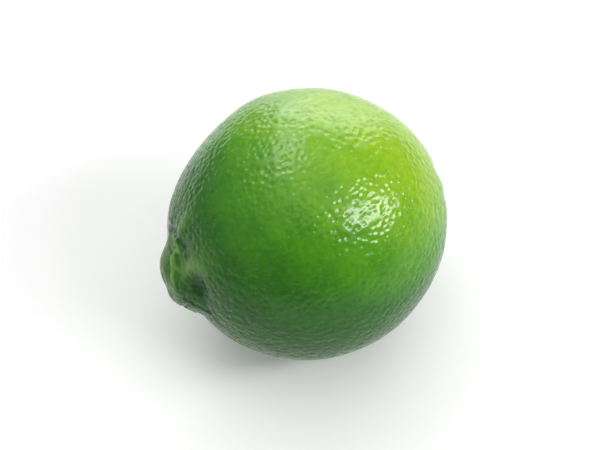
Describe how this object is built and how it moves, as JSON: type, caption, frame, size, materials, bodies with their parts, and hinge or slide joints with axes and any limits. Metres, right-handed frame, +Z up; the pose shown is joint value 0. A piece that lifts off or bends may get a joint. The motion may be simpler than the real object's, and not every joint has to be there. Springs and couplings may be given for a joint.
{
  "type": "lime",
  "caption": "Whole round green lime lying on its side, with a blunt nipple at one end and a small dry stem scar at the other.",
  "frame": {"origin": "on the surface that the lime lies on, under the middle of its bounding box", "axes": "+Z up; +X along the fruit's long axis, from the nipple to the stem end; +Y to its back"},
  "size_m": [0.0616, 0.0568, 0.0548],
  "materials": {
    "peel": "waxy pitted citrus peel, semi-gloss"
  },
  "bodies": {
    "root": {"lime": "peel"}
  },
  "joints": []
}
